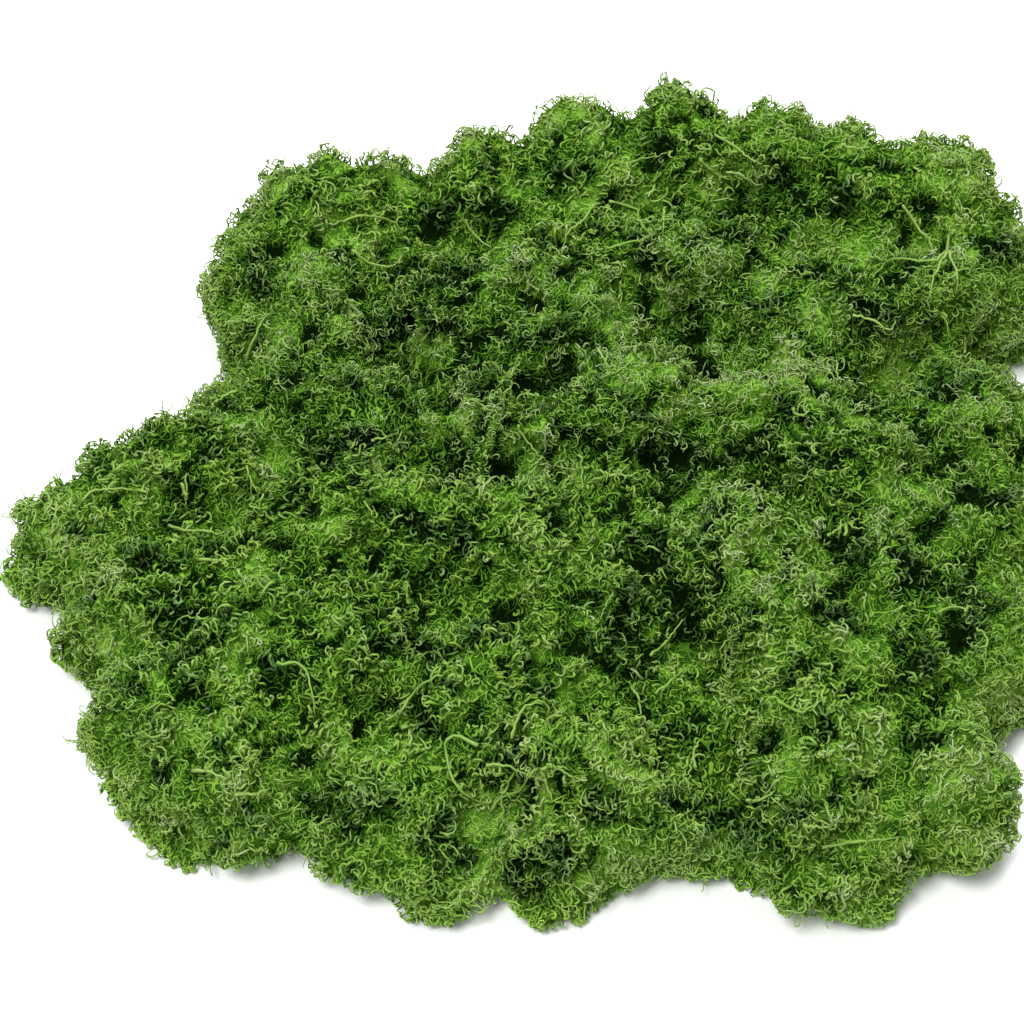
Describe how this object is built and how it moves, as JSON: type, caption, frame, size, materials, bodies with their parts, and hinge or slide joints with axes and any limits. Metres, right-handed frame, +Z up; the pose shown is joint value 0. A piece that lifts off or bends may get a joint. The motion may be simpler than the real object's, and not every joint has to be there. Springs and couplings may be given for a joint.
{
  "type": "moss clump",
  "caption": "Lumpy mat of tangled, curly moss fibre that lies flat, with a high back edge, low front toes and hollows between its cushions.",
  "frame": {"origin": "middle of the bounding box on the flat underside that the mat rests on", "axes": "+Z up from the surface, +X along the mat's length to the viewer's right, +Y from the low front edge to the high back edge"},
  "size_m": [0.3472, 0.3242, 0.0665],
  "materials": {
    "moss_fibre": "matt fibre, mid green with dark hollows and pale tips"
  },
  "bodies": {
    "root": {"moss_clump": "moss_fibre"}
  },
  "joints": []
}
